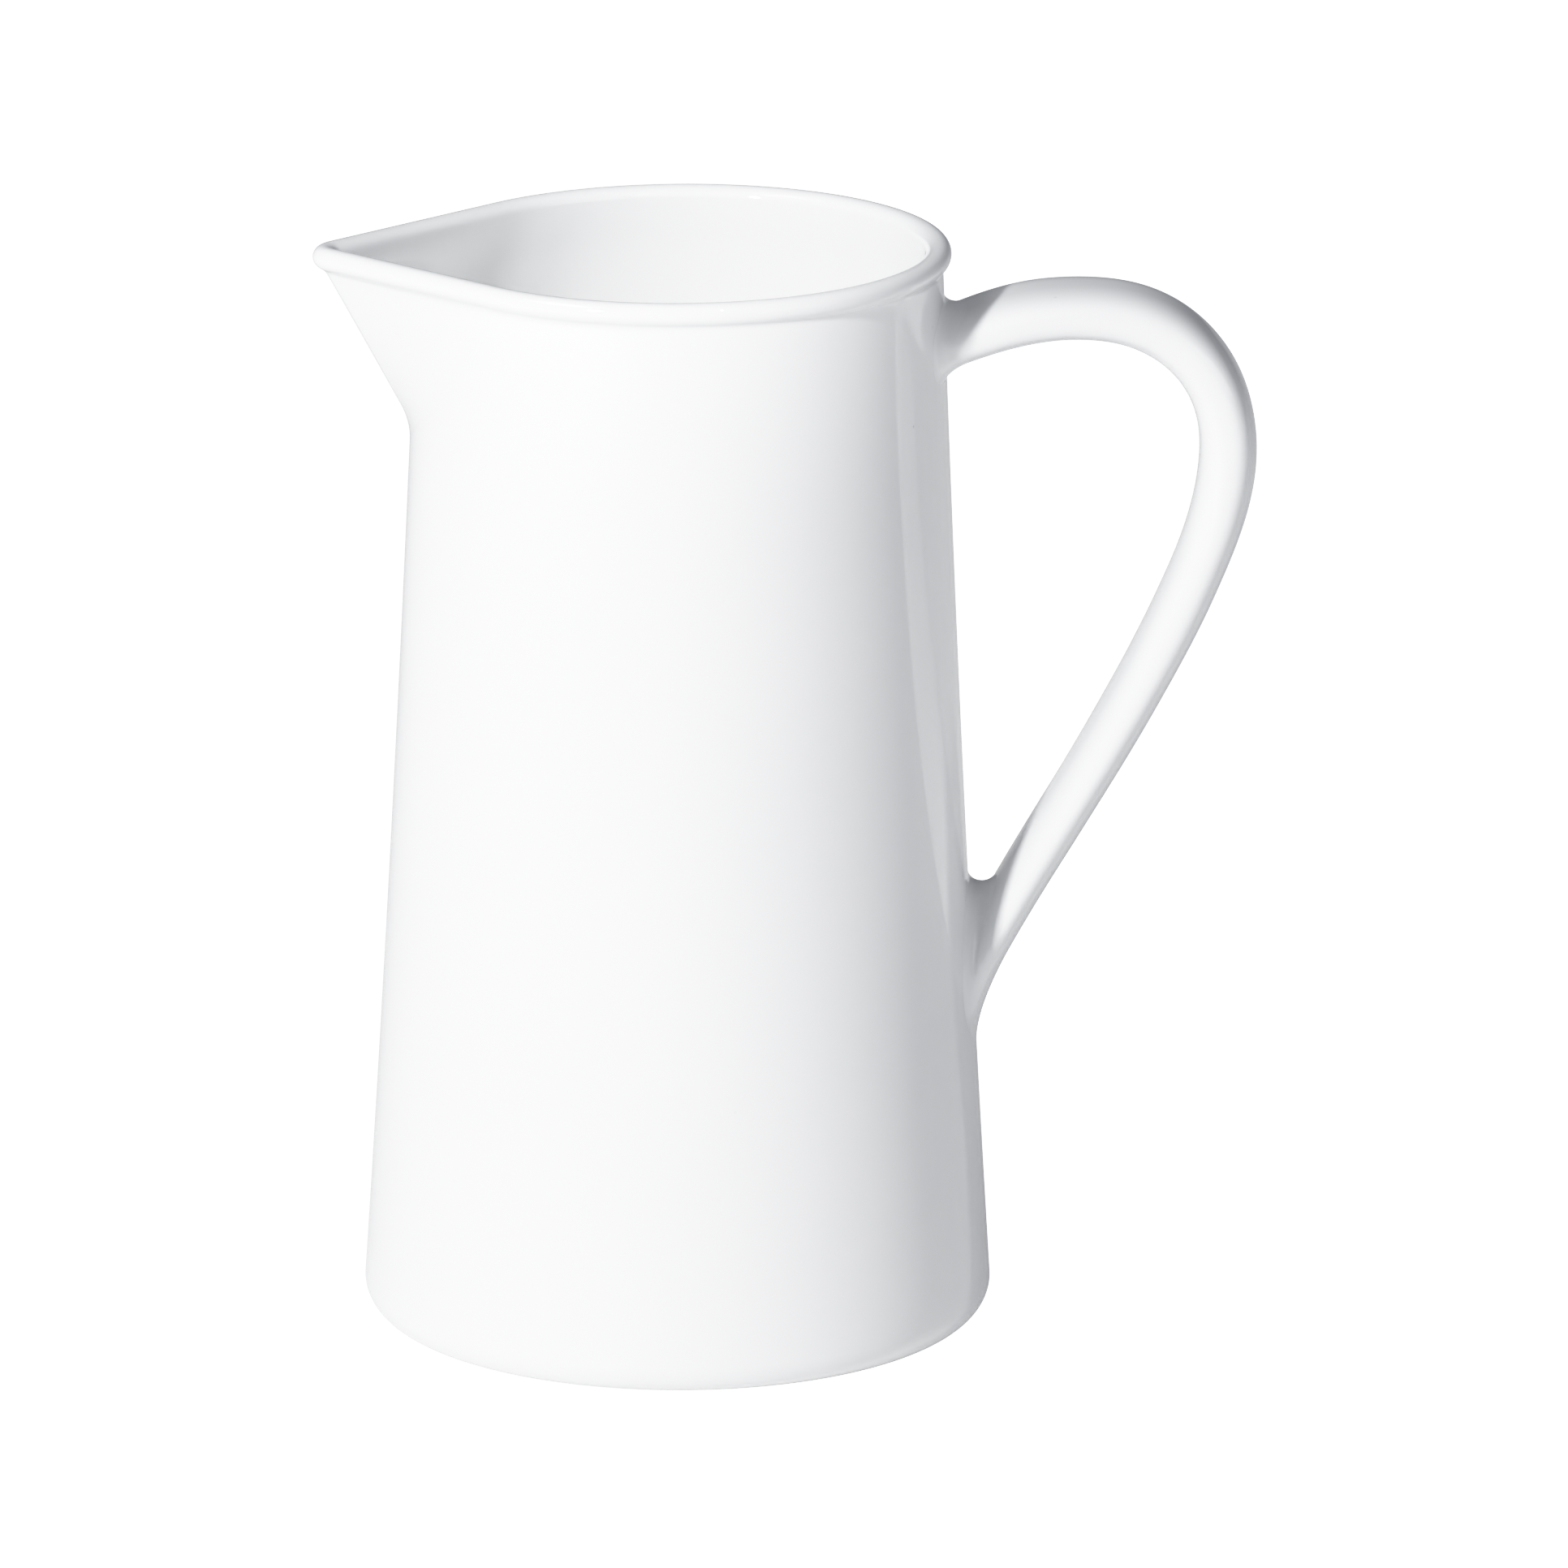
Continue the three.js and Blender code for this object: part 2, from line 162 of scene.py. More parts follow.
class Skin:
    """Collects the patches of one piece and welds them into one closed mesh. Shown patches
    bring their own normals, so that two pieces meet with no line between them; hidden ones
    bring none and are shaded flat."""

    def __init__(self):
        self.points = []
        self.found = {}
        self.faces = []

    def vertex(self, point):
        key = tuple(np.round(point / WELD).astype(int))
        if key not in self.found:
            self.found[key] = len(self.points)
            self.points.append(point)
        return self.found[key]

    def face(self, points, normals=None):
        """Corners that weld together count once."""
        corners = {}
        for k, point in enumerate(points):
            corners.setdefault(self.vertex(point), None if normals is None else normals[k])
        if len(corners) > 2:
            self.faces.append(corners)

    def grid(self, points, normals=None, wrap=False):
        """points and normals are arrays of rows by columns by 3."""
        rows, columns = points.shape[:2]
        for i in range(rows - 1):
            for j in range(columns if wrap else columns - 1):
                k = (j + 1) % columns
                ring = ((i, j), (i, k), (i + 1, k), (i + 1, j))
                given = None if normals is None else [normals[r] for r in ring]
                self.face([points[r] for r in ring], given)

    def fan(self, ring, normal=None):
        """Closes a hole, given as a ring of points, from its middle."""
        middle = ring.mean(axis=0)
        for j in range(len(ring)):
            corners = [middle, ring[j], ring[(j + 1) % len(ring)]]
            self.face(corners, None if normal is None else [normal] * 3)

    def piece(self, node, material, slot_name):
        mesh = bpy.data.meshes.new(node + "_skin")
        mesh.from_pydata(self.points, [], [list(face) for face in self.faces])
        turned = bmesh.new()
        turned.from_mesh(mesh)
        bmesh.ops.recalc_face_normals(turned, faces=turned.faces)
        turned.to_mesh(mesh)
        turned.free()
        mesh.polygons.foreach_set("use_smooth", [True] * len(mesh.polygons))
        normals = []
        for polygon, face in zip(mesh.polygons, self.faces):
            for v in polygon.vertices:
                normals.append(polygon.normal if face[v] is None else face[v])
        mesh.normals_split_custom_set(normals)
        mesh.materials.append(material)
        made = bpy.data.objects.new(mesh.name, mesh)
        bpy.context.scene.collection.objects.link(made)
        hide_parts(node)
        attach(made, "root")
        return made


# ---------- shape of the vessel ----------

def wall_radius(z):
    u = (z - HEEL_RADIUS) / (LIP_HEIGHT - HEEL_RADIUS)
    return lerp(BASE_RADIUS, NECK_RADIUS, u) - 4 * WALL_BOW * u * (1 - u)


def wall_thickness(z):
    return lerp(WALL_AT_BASE, WALL_AT_TOP, z / LIP_HEIGHT)


def keel_standout(z):
    """How far the keel stands out of the round wall: nothing below its foot, then a straight
    line, with a short parabola between them."""
    u = (z - KEEL_FOOT) / (LIP_HEIGHT - KEEL_FOOT)
    proud = lerp(wall_radius(KEEL_FOOT), SPOUT_REACH, u) - wall_radius(z)
    if proud < -KEEL_BLEND:
        return 0
    if proud > KEEL_BLEND:
        return proud
    return (proud + KEEL_BLEND) ** 2 / (4 * KEEL_BLEND)


def up_spout(z):
    return min(max((z - KEEL_FOOT) / (LIP_HEIGHT - KEEL_FOOT), 0), 1)


def belt_angle(z):
    """The plan section is a belt round two circles, the body and a small nose at the spout's
    tip. The belt leaves the body at this angle each side of the spout's centre line."""
    nose = lerp(NOSE_AT_FOOT, NOSE_AT_LIP, up_spout(z))
    round_part = wall_radius(z) - nose
    return math.acos(round_part / (round_part + keel_standout(z)))


def belt_radius(angles, radius, nose, belt):
    centre = (radius - nose) / math.cos(belt)
    nose_end = math.atan2(nose * math.sin(belt), centre + nose * math.cos(belt))
    off = np.abs((angles + math.pi) % (2 * math.pi) - math.pi)
    straight = radius / np.cos(np.minimum(belt - off, 1))
    across = np.minimum(np.abs(centre * np.sin(off)), nose)
    tip = centre * np.cos(off) + np.sqrt(nose * nose - across * across)
    return np.where(off >= belt, radius, np.where(off >= nose_end, straight, tip))


def plan_points(angles, radii, z):
    """Angles are measured from the spout's centre line. The mouth leans towards the spout."""
    x = -radii * np.cos(angles)
    y = -radii * np.sin(angles)
    return np.stack([x, y, z + LIP_SLOPE * x * (z / LIP_HEIGHT) ** LEAN_POWER], axis=-1)


def round_ring(radius, z):
    return lambda angles: plan_points(angles, np.full_like(angles, radius), z)


def outer_ring(z):
    nose = lerp(NOSE_AT_FOOT, NOSE_AT_LIP, up_spout(z))
    return lambda angles: plan_points(
        angles, belt_radius(angles, wall_radius(z), nose, belt_angle(z)), z)


def inner_ring(z):
    nose = lerp(INNER_NOSE_AT_FOOT, INNER_NOSE_AT_LIP, up_spout(z))
    radius = wall_radius(z) - wall_thickness(z)
    return lambda angles: plan_points(
        angles, belt_radius(angles, radius, nose, belt_angle(z)), z)


def lip_ring(out, z):
    """A line round the lip, this far out from the centre of its section."""
    belt = belt_angle(LIP_HEIGHT)
    return lambda angles: plan_points(
        angles, belt_radius(angles, LIP_CENTRE + out, LIP_NOSE + out, belt), z)


def blend_ring(start, before, end, after, t, pull):
    """A line part way from ring start to ring end. The surface leaves start in the direction
    from before to start, and reaches end in the direction from end to after."""
    def at(angles):
        a = start(angles)
        d = end(angles)
        reach = pull * np.linalg.norm(d - a, axis=-1, keepdims=True)
        leave = unit(a - before(angles)) * reach
        arrive = unit(after(angles) - d) * reach
        return bezier(a, a + leave, d - arrive, d, t)
    return at


def seam_half(z):
    """Half the angle that the spout takes up at height z."""
    return belt_angle(min(z, LIP_HEIGHT))


SPOUT_FOOT = max(z for z in np.arange(KEEL_FOOT - 10 * MM, KEEL_FOOT, 0.01 * MM)
                 if keel_standout(z) == 0)
SPOUT_STEPS = np.linspace(-1, 1, SPOUT_COLUMNS + 1)
SPOUT_SHARE = np.sign(SPOUT_STEPS) * np.abs(SPOUT_STEPS) ** SPOUT_CROWDING
BODY_SHARE = np.linspace(0, 1, BODY_COLUMNS + 1)


def spout_angles(z):
    return SPOUT_SHARE * seam_half(z)


def body_angles(z):
    half = seam_half(z)
    return lerp(half, 2 * math.pi - half, BODY_SHARE)


def surface(rings, heights, angles_at):
    """Points and normals where a stack of rings crosses its columns. Each normal comes from
    the ring's own direction and from the rings above and below it at the same angle."""
    turn = 1e-4
    points = []
    normals = []
    for i, (ring, z) in enumerate(zip(rings, heights)):
        angles = angles_at(z)
        here = ring(angles)
        round_it = ring(angles + turn) - ring(angles - turn)
        back = here - rings[i - 1](angles) if i > 0 else None
        ahead = rings[i + 1](angles) - here if i + 1 < len(rings) else None
        if back is None:
            up_it = ahead
        elif ahead is None:
            up_it = back
        else:
            h0 = np.linalg.norm(back, axis=-1, keepdims=True) + 1e-12
            h1 = np.linalg.norm(ahead, axis=-1, keepdims=True) + 1e-12
            up_it = unit(ahead / h1 * h0 + back / h0 * h1)
        points.append(here)
        normals.append(np.cross(unit(round_it), unit(up_it)))
    return np.array(points), unit(np.array(normals))


# ---------- the vessel's skin, as stacks of rings ----------

def heights_between(low, high, step):
    return list(np.linspace(low, high, max(2, round((high - low) / step) + 1)))


def wall_heights(low, high, step):
    """Closer together at the foot of the spout's keel and above it."""
    return (heights_between(low, SPOUT_FOOT, step)
            + heights_between(SPOUT_FOOT, KEEL_STEPS_END, KEEL_STEP)[1:]
            + heights_between(KEEL_STEPS_END, high, NECK_STEP)[1:])


def lip_section():
    """(out, height) of the rolled lip, from under its outside, over the top, to the mouth."""
    inside = LIP_CENTRE - (NECK_RADIUS - WALL_AT_TOP)
    under = math.degrees(math.asin((LIP_SEAT - LIP_HEIGHT) / LIP_RADIUS))
    outer = arc(0, LIP_HEIGHT, LIP_RADIUS, LIP_RADIUS, under, 90, LIP_OUTER_STEPS)
    inner = arc(0, LIP_HEIGHT, inside, LIP_RADIUS, 90, 180, LIP_INNER_STEPS)[1:]
    down = [(-inside, z) for z in np.linspace(LIP_HEIGHT, LIP_SEAT, 4)[1:]]
    return outer + inner + down


LIP_SECTION = lip_section()
LIP_RINGS = [lip_ring(out, z) for out, z in LIP_SECTION]


def outer_stack():
    """Heel, wall and the cove under the lip."""
    centre = BASE_RADIUS - HEEL_RADIUS
    heel = arc(centre, HEEL_RADIUS, HEEL_RADIUS, HEEL_RADIUS, HEEL_LOW, 0, HEEL_STEPS)
    rings = [round_ring(r, z) for r, z in heel[:-1]]
    heights = [z for _, z in heel[:-1]]
    wall = wall_heights(HEEL_RADIUS, COVE_FOOT, WALL_STEP)
    rings += [outer_ring(z) for z in wall]
    heights += wall
    foot = outer_ring(COVE_FOOT)
    below = outer_ring(COVE_FOOT - RING_NUDGE)
    for t in np.linspace(0, 1, COVE_STEPS + 1)[1:]:
        rings.append(blend_ring(foot, below, LIP_RINGS[0], LIP_RINGS[1], t, COVE_PULL))
        heights.append(lerp(COVE_FOOT, LIP_SEAT, t))
    return rings, heights


def inner_stack():
    """From the lip's inside down to the middle of the floor."""
    rings = []
    heights = []
    throat = inner_ring(THROAT)
    below = inner_ring(THROAT - RING_NUDGE)
    for t in np.linspace(0, 1, THROAT_STEPS + 1)[:-1]:
        rings.append(blend_ring(LIP_RINGS[-1], LIP_RINGS[-2], throat, below, t, THROAT_PULL))
        heights.append(lerp(LIP_SEAT, THROAT, t))
    fillet_top = FLOOR_TOP + FLOOR_FILLET
    wall = wall_heights(fillet_top, THROAT, INNER_WALL_STEP)
    rings += [inner_ring(z) for z in reversed(wall)]
    heights += list(reversed(wall))
    corner = wall_radius(fillet_top) - wall_thickness(fillet_top) - FLOOR_FILLET
    fillet = arc(corner, fillet_top, FLOOR_FILLET, FLOOR_FILLET, 0, -90, FLOOR_FILLET_STEPS)[1:]
    floor = [(corner * share, FLOOR_TOP) for share in (0.8, 0.55, 0.3, 0.1, 0.02)]
    rings += [round_ring(r, z) for r, z in fillet + floor]
    heights += [z for _, z in fillet + floor]
    return rings, heights


def underside_rings():
    """The glazed recess, the groove that the foot ring fills, and the glaze's edge."""
    centre = BASE_RADIUS - HEEL_RADIUS
    heel_r, heel_z = arc(centre, HEEL_RADIUS, HEEL_RADIUS, HEEL_RADIUS, HEEL_LOW, 0, 1)[0]
    turn = math.radians(HEEL_LOW)
    edge_r = heel_r - HEEL_EDGE * math.cos(turn)
    edge_z = heel_z - HEEL_EDGE * math.sin(turn)
    edge = arc(edge_r, edge_z, HEEL_EDGE, HEEL_EDGE, -180, HEEL_LOW, HEEL_EDGE_STEPS)
    recess = [(FOOT_INNER * share, RECESS_HEIGHT) for share in (0.02, 0.15, 0.4, 0.7, 0.95, 1)]
    groove = [recess[-1], (FOOT_INNER, FOOT_HEIGHT), (FOOT_OUTER, FOOT_HEIGHT)]
    roof = [groove[-1], (edge_r - HEEL_EDGE, FOOT_HEIGHT), edge[0]]
    return [recess, groove[:2], groove[1:], roof[:2], roof[1:], edge]


OUTER_RINGS, OUTER_HEIGHTS = outer_stack()
INNER_RINGS, INNER_HEIGHTS = inner_stack()


def above_foot(heights):
    return [i for i, z in enumerate(heights) if z >= SPOUT_FOOT - 1e-9]


def shell_piece(name, angles_at, in_spout):
    """The body or the spout: outside, inside, the seat under the lip, and the two seams."""
    skin = Skin()
    outer, outer_normals = surface(OUTER_RINGS, OUTER_HEIGHTS, angles_at)
    inner, inner_normals = surface(INNER_RINGS, INNER_HEIGHTS, angles_at)
    seam_out = above_foot(OUTER_HEIGHTS)
    seam_in = above_foot(INNER_HEIGHTS)
    if in_spout:
        skin.grid(outer[seam_out], outer_normals[seam_out])
        skin.grid(inner[seam_in], inner_normals[seam_in])
    else:
        skin.grid(outer, outer_normals)
        skin.grid(inner, inner_normals)
        skin.fan(inner[-1][:-1], (0, 0, 1))
        for rings in underside_rings():
            stack = [round_ring(r, z) for r, z in rings]
            skin.grid(*surface(stack, [z for _, z in rings], angles_at))
        first = round_ring(*underside_rings()[0][0])
        skin.fan(first(angles_at(0))[:-1], (0, 0, -1))
    skin.grid(np.stack([outer[-1], inner[0]]))
    for edge in (0, -1):
        seam(skin, outer[seam_out, edge], inner[seam_in, edge][::-1])
    return skin.piece(name, GLAZE, "white_glaze")


def seam(skin, outer_edge, inner_edge):
    """A hidden face between two edges that run up from the same foot but have different
    numbers of points."""
    i = j = 0
    while i < len(outer_edge) - 1 or j < len(inner_edge) - 1:
        go_out = j == len(inner_edge) - 1 or (
            i < len(outer_edge) - 1 and outer_edge[i + 1][2] <= inner_edge[j + 1][2])
        third = outer_edge[i + 1] if go_out else inner_edge[j + 1]
        skin.face([outer_edge[i], inner_edge[j], third])
        if go_out:
            i += 1
        else:
            j += 1


def lip_piece():
    skin = Skin()
    heights = [LIP_HEIGHT] * len(LIP_RINGS)
    for angles_at in (spout_angles, body_angles):
        # one extra ring at each end gives the end rows the normals of the wall they meet
        rings = [OUTER_RINGS[-2]] + LIP_RINGS + [INNER_RINGS[1]]
        points, normals = surface(rings, [LIP_HEIGHT] + heights + [LIP_HEIGHT], angles_at)
        skin.grid(points[1:-1], normals[1:-1])
        skin.grid(points[[1, -2]])
    return skin.piece("rim_lip", GLAZE, "white_glaze")


def foot_piece():
    skin = Skin()
    left = FOOT_INNER + FOOT_EDGE
    right = FOOT_OUTER - FOOT_EDGE
    under = (arc(left, FOOT_EDGE, FOOT_EDGE, FOOT_EDGE, 180, 270, FOOT_EDGE_STEPS)
             + arc(right, FOOT_EDGE, FOOT_EDGE, FOOT_EDGE, 270, 360, FOOT_EDGE_STEPS))
    patches = [
        [(FOOT_INNER, FOOT_HEIGHT), under[0]],
        under,
        [under[-1], (FOOT_OUTER, FOOT_HEIGHT)],
        [(FOOT_OUTER, FOOT_HEIGHT), (FOOT_INNER, FOOT_HEIGHT)],
    ]
    for profile in patches:
        stack = [round_ring(r, z) for r, z in profile]
        skin.grid(*surface(stack, [z for _, z in profile], body_angles))
    return skin.piece("foot_ring", BISQUE, "bisque")


# ---------- handle ----------

def natural_spline(knots, samples):
    """A smooth curve through the knots, as points evenly spaced along it."""
    knots = np.array(knots, float)
    spans = np.linalg.norm(np.diff(knots, axis=0), axis=1)
    n = len(knots)
    system = np.eye(n)
    right = np.zeros((n, knots.shape[1]))
    slopes = np.diff(knots, axis=0) / spans[:, None]
    for i in range(1, n - 1):
        system[i, i - 1:i + 2] = spans[i - 1], 2 * (spans[i - 1] + spans[i]), spans[i]
        right[i] = 6 * (slopes[i] - slopes[i - 1])
    bend = np.linalg.solve(system, right)
    line = []
    for i in range(n - 1):
        h = spans[i]
        for t in np.linspace(0, h, samples, endpoint=False):
            a = (h - t) / h
            b = t / h
            line.append(a * knots[i] + b * knots[i + 1]
                        + ((a ** 3 - a) * bend[i] + (b ** 3 - b) * bend[i + 1]) * h * h / 6)
    line.append(knots[-1])
    line = np.array(line)
    walked = np.concatenate([[0], np.cumsum(np.linalg.norm(np.diff(line, axis=0), axis=1))])
    even = np.linspace(0, walked[-1], len(line))
    return np.stack([np.interp(even, walked, line[:, k]) for k in (0, 1)], axis=1), walked[-1]


CENTRE, HANDLE_LENGTH = natural_spline(np.array(HANDLE_LINE) * MM, SPLINE_SAMPLES)
TANGENT = unit(np.gradient(CENTRE, axis=0))
EVEN = np.linspace(0, 1, len(CENTRE))


def along(sizes, s):
    """Smoothly follows a list of sizes spaced evenly along the handle."""
    place = np.clip(s, 0, 1) * (len(sizes) - 1)
    i = np.minimum(place.astype(int), len(sizes) - 2)
    t = place - i
    t = t * t * (3 - 2 * t)
    sizes = np.array(sizes)
    return lerp(sizes[i], sizes[i + 1], t)


def handle_points(s, side, grow=0):
    """s runs from the upper root to the lower one, and side is the angle round the section,
    0 on the side away from the body."""
    s, side = np.broadcast_arrays(np.asarray(s, float), np.asarray(side, float))
    x = np.interp(s, EVEN, CENTRE[:, 0])
    z = np.interp(s, EVEN, CENTRE[:, 1])
    tx = np.interp(s, EVEN, TANGENT[:, 0])
    tz = np.interp(s, EVEN, TANGENT[:, 1])
    power = 2 / along(HANDLE_SQUARENESS, s)
    away = np.sign(np.cos(side)) * np.abs(np.cos(side)) ** power
    aside = np.sign(np.sin(side)) * np.abs(np.sin(side)) ** power
    thick = (along(HANDLE_THICK, s) * MM / 2 + grow) * away
    wide = (along(HANDLE_WIDE, s) * MM / 2 + grow) * aside
    return np.stack([x - tz * thick, wide, z + tx * thick], axis=-1)


def handle_direction(s, side):
    step = 1e-3
    return unit(handle_points(s + step, side) - handle_points(s - step, side))


def handle_normals(s, side):
    """Square to the skin, from the formula of the section and from the handle's taper."""
    s, side = np.broadcast_arrays(np.asarray(s, float), np.asarray(side, float))
    tx = np.interp(s, EVEN, TANGENT[:, 0])
    tz = np.interp(s, EVEN, TANGENT[:, 1])
    power = 2 - 2 / along(HANDLE_SQUARENESS, s)
    away = np.sign(np.cos(side)) * np.abs(np.cos(side)) ** power / along(HANDLE_THICK, s)
    aside = np.sign(np.sin(side)) * np.abs(np.sin(side)) ** power / along(HANDLE_WIDE, s)
    flat = np.stack([-tz * away, aside, tx * away], axis=-1)
    run = handle_direction(s, side)
    flat = unit(flat)
    return unit(flat - run * np.sum(flat * run, axis=-1, keepdims=True))


SIDES = np.linspace(0, 2 * math.pi, HANDLE_SIDES, endpoint=False)


def meets_wall(outside, inside):
    """Where each line of the handle's skin meets the wall, as a place along the handle."""
    outside = np.full(HANDLE_SIDES, float(outside))
    inside = np.full(HANDLE_SIDES, float(inside))
    for _ in range(HALVINGS):
        middle = (outside + inside) / 2
        p = handle_points(middle, SIDES)
        clear = np.hypot(p[:, 0], p[:, 1]) > wall_radius(p[:, 2])
        outside = np.where(clear, middle, outside)
        inside = np.where(clear, inside, middle)
    return (outside + inside) / 2


def on_wall(points, depth=0):
    r = np.hypot(points[..., 0], points[..., 1])
    share = (wall_radius(points[..., 2]) - depth) / r
    return points * np.stack([share, share, np.ones_like(share)], axis=-1)


def wall_normals(points):
    """Normals of the round wall, which leans in as it goes up."""
    slope = (wall_radius(points[:, 2] - MM) - wall_radius(points[:, 2] + MM)) / (2 * MM)
    radial = unit(points * np.array([1, 1, 0]))
    return unit(radial + slope[:, None] * np.array([0, 0, 1]))


class Root:
    """One end of the handle: where its skin meets the wall, and the slip fillet round it."""

    def __init__(self, fillet, outside, inside, top_side):
        self.towards = math.copysign(1, inside - outside)
        self.meet = meets_wall(outside, inside)
        upness = np.cos(SIDES) * top_side
        side, top, under = (np.array(fillet[k]) * MM for k in ("side", "top", "under"))
        share = (upness ** 2)[:, None]
        end = np.where(upness[:, None] > 0, top, under)
        self.on_handle, self.on_body = lerp(side, end, share).T
        self.start = self.meet - self.towards * self.on_handle / HANDLE_LENGTH

    def curves(self):
        """The curved face of the fillet: one curve for each side angle, and its normals."""
        corner = handle_points(self.meet, SIDES)
        start = handle_points(self.start, SIDES)
        heading = handle_direction(self.start, SIDES) * self.towards
        radial = unit(corner * np.array([1, 1, 0]))
        meet_line = np.roll(corner, -1, axis=0) - np.roll(corner, 1, axis=0)
        outward = unit(np.cross(radial, meet_line))
        off_axis = handle_points(self.meet, SIDES, 1 * MM) - corner
        outward *= np.sign(np.sum(outward * off_axis, axis=-1, keepdims=True))
        length = self.on_body[:, None]
        end = on_wall(corner + outward * length, SINK)
        just_before = on_wall(corner + outward * length * NEAR_END, SINK)
        leaving = unit(end - just_before)
        # the pull that makes a curve through this turn closest to a round arc
        turn = np.maximum(np.arccos(np.clip(np.sum(heading * leaving, axis=-1), -1, 1)), 0.1)
        pull = (4 / 3) * np.tan(turn / 4) / np.tan(np.minimum(turn, 3) / 2)
        reach = (pull * self.on_handle)[:, None]
        drop = (pull * self.on_body)[:, None]
        steps = np.linspace(0, 1, FILLET_STEPS + 1)
        rows = np.array([bezier(start, start + heading * reach, end - leaving * drop, end, t)
                         for t in steps])
        run = np.gradient(rows, axis=0)
        run[0] = heading
        run[-1] = leaving
        around = np.roll(rows, -1, axis=1) - np.roll(rows, 1, axis=1)
        normals = unit(np.cross(unit(around), unit(run)))
        outer = handle_normals(self.start, SIDES)
        if np.sum(normals[0] * outer) < 0:
            normals = -normals
        normals[0] = outer
        normals[-1] = wall_normals(end)
        return rows, normals, corner

    def piece(self, name):
        skin = Skin()
        rows, normals, corner = self.curves()
        skin.grid(rows, normals, wrap=True)
        skin.grid(np.stack([rows[-1], on_wall(corner, EMBED), rows[0]]), wrap=True)
        return skin.piece(name, GLAZE, "white_glaze")


def handle_piece(upper, lower):
    skin = Skin()
    share = np.linspace(0, 1, HANDLE_ROWS + 1)[:, None]
    s = lerp(upper.start[None, :], lower.start[None, :], share)
    skin.grid(handle_points(s, SIDES[None, :]), handle_normals(s, SIDES[None, :]), wrap=True)
    for root in (upper, lower):
        # inside the fillet the handle is a hair thinner, so that their faces stay apart
        neck = handle_points(root.meet, SIDES, -HAIR)
        end = on_wall(neck, EMBED)
        skin.grid(np.stack([handle_points(root.start, SIDES), neck, end]), wrap=True)
        skin.fan(end)
    return skin.piece("handle", GLAZE, "white_glaze")


# ---------- materials ----------

def material(name):
    made = bpy.data.materials.new(name)
    made.use_nodes = True
    nodes = made.node_tree.nodes
    links = made.node_tree.links
    return made, nodes, links, nodes["Principled BSDF"]


def noise(nodes, links, place, scale, detail, roughness=0.5):
    node = nodes.new("ShaderNodeTexNoise")
    node.inputs["Scale"].default_value = scale
    node.inputs["Detail"].default_value = detail
    node.inputs["Roughness"].default_value = roughness
    links.new(place, node.inputs["Vector"])
    return node.outputs["Fac"]


def ramp(nodes, links, value, stops):
    node = nodes.new("ShaderNodeValToRGB")
    while len(node.color_ramp.elements) < len(stops):
        node.color_ramp.elements.new(0.5)
    for element, (position, colour) in zip(node.color_ramp.elements, stops):
        element.position = position
        element.color = (*colour, 1)
    links.new(value, node.inputs["Fac"])
    return node.outputs["Color"]


def spread(nodes, links, value, low, high, new_low, new_high):
    node = nodes.new("ShaderNodeMapRange")
    for socket, number in zip(("From Min", "From Max", "To Min", "To Max"),
                              (low, high, new_low, new_high)):
        node.inputs[socket].default_value = number
    links.new(value, node.inputs["Value"])
    return node.outputs["Result"]


def bump(nodes, links, height, distance, strength, below=None):
    node = nodes.new("ShaderNodeBump")
    node.inputs["Distance"].default_value = distance
    node.inputs["Strength"].default_value = strength
    links.new(height, node.inputs["Height"])
    if below is not None:
        links.new(below, node.inputs["Normal"])
    return node.outputs["Normal"]


GLAZE_DARK = (0.93, 0.936, 0.938)
GLAZE_LIGHT = (0.944, 0.947, 0.948)
GLAZE_ROUGHNESS = (0.012, 0.03)
GLAZE_IOR = 1.58
PINHOLE_COLOUR = (0.42, 0.40, 0.37)


def glaze_material():
    """Glossy white glaze: slow drifts of tone, a faint orange-peel ripple, a few pinholes."""
    made, nodes, links, shader = material("white_glaze")
    place = nodes.new("ShaderNodeTexCoord").outputs["Object"]
    drift = noise(nodes, links, place, scale=22, detail=3)
    tone = ramp(nodes, links, drift, [(0.35, GLAZE_DARK), (0.65, GLAZE_LIGHT)])
    speck = nodes.new("ShaderNodeTexVoronoi")
    speck.inputs["Scale"].default_value = 95
    links.new(place, speck.inputs["Vector"])
    dot = spread(nodes, links, speck.outputs["Distance"], 0.02, 0.035, 1, 0)
    where = noise(nodes, links, place, scale=31, detail=0)
    rare = spread(nodes, links, where, 0.62, 0.66, 0, 0.35)
    amount = nodes.new("ShaderNodeMath")
    amount.operation = "MULTIPLY"
    links.new(dot, amount.inputs[0])
    links.new(rare, amount.inputs[1])
    mix = nodes.new("ShaderNodeMix")
    mix.data_type = "RGBA"
    links.new(amount.outputs[0], mix.inputs["Factor"])
    links.new(tone, mix.inputs["A"])
    mix.inputs["B"].default_value = (*PINHOLE_COLOUR, 1)
    links.new(mix.outputs["Result"], shader.inputs["Base Color"])
    gloss = noise(nodes, links, place, scale=60, detail=4)
    links.new(spread(nodes, links, gloss, 0.3, 0.7, *GLAZE_ROUGHNESS), shader.inputs["Roughness"])
    slow = noise(nodes, links, place, scale=38, detail=2)
    quick = noise(nodes, links, place, scale=420, detail=2)
    wave = bump(nodes, links, slow, distance=0.05 * MM, strength=0.5)
    peel = bump(nodes, links, quick, distance=0.004 * MM, strength=0.5, below=wave)
    links.new(peel, shader.inputs["Normal"])
    shader.inputs["IOR"].default_value = GLAZE_IOR
    return made


